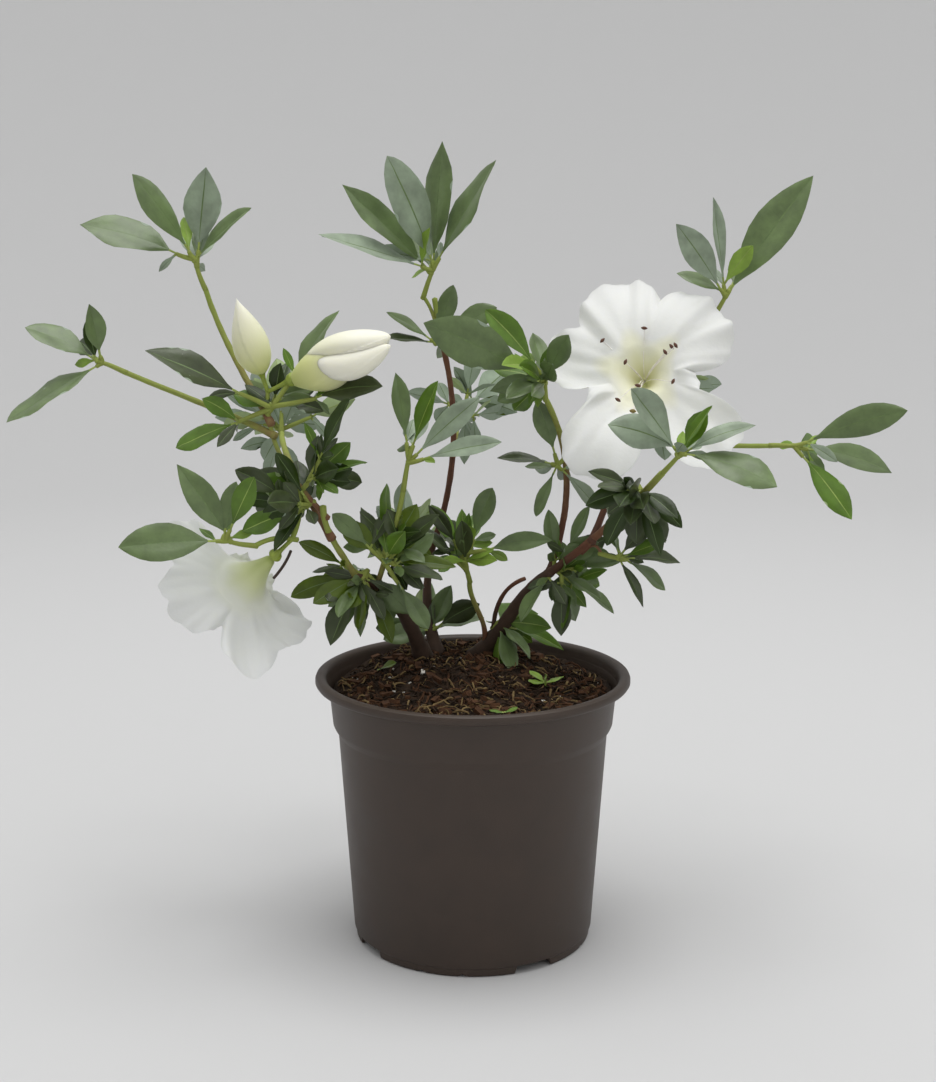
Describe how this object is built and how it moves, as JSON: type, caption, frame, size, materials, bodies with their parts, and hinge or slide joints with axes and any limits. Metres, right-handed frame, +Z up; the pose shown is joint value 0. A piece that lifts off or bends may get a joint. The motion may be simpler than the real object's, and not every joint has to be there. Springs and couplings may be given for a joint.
{
  "type": "potted azalea shrub",
  "caption": "Young azalea shrub in a round nursery pot of soil: slender woody stems and boughs carry open sprays of pointed leaves, ruffled white blooms and pale buds.",
  "frame": {"origin": "the middle of the pot's flat underside", "axes": "+Z up, -Y to the shrub's front, +X to the right as seen from the front"},
  "size_m": [0.3611, 0.1832, 0.3285],
  "materials": {
    "pot": "moulded nursery-pot plastic, dark brown, satin",
    "soil": "peat potting soil with fibres and bark chips",
    "bark": "thin brown bark, greener towards the tips",
    "leaf": "leaves, mid green above and grey green below",
    "petal": "thin white petals, cream in the bud"
  },
  "bodies": {
    "root": {"pot": "pot", "soil": "soil", "stem_left": "bark", "stem_middle": "bark", "stem_right": "bark", "stem_right_thin": "bark", "bough_back_centre": "bark", "bough_back_left": "bark", "bough_back_low": "bark", "bough_back_right": "bark", "bough_big_leaf": "bark", "bough_bloom": "bark", "bough_buds": "bark", "bough_centre": "bark", "bough_far_left": "bark", "bough_left": "bark", "bough_left_bloom": "bark", "bough_low_centre": "bark", "bough_low_left": "bark", "bough_middle": "bark", "bough_right_end": "bark", "bough_right_front": "bark", "bough_right_side": "bark", "bough_top_centre": "bark", "bough_top_left": "bark", "bough_top_right": "bark", "bough_top_side": "bark", "bloom_left": "petal", "bloom_right": "petal", "bud_side": "petal", "bud_upright": "petal", "foliage_back_centre": "leaf", "foliage_back_left": "leaf", "foliage_back_low": "leaf", "foliage_back_right": "leaf", "foliage_base_centre": "leaf", "foliage_base_right": "leaf", "foliage_behind_bloom": "leaf", "foliage_big_leaf": "leaf", "foliage_buds": "leaf", "foliage_centre": "leaf", "foliage_far_left": "leaf", "foliage_front": "leaf", "foliage_inner_left": "leaf", "foliage_low_centre": "leaf", "foliage_low_core": "leaf", "foliage_low_hanging": "leaf", "foliage_low_left": "leaf", "foliage_middle": "leaf", "foliage_pair": "leaf", "foliage_right_end": "leaf", "foliage_right_hanging": "leaf", "foliage_right_low": "leaf", "foliage_right_side": "leaf", "foliage_top_centre": "leaf", "foliage_top_left": "leaf", "foliage_top_right": "leaf"}
  },
  "joints": []
}
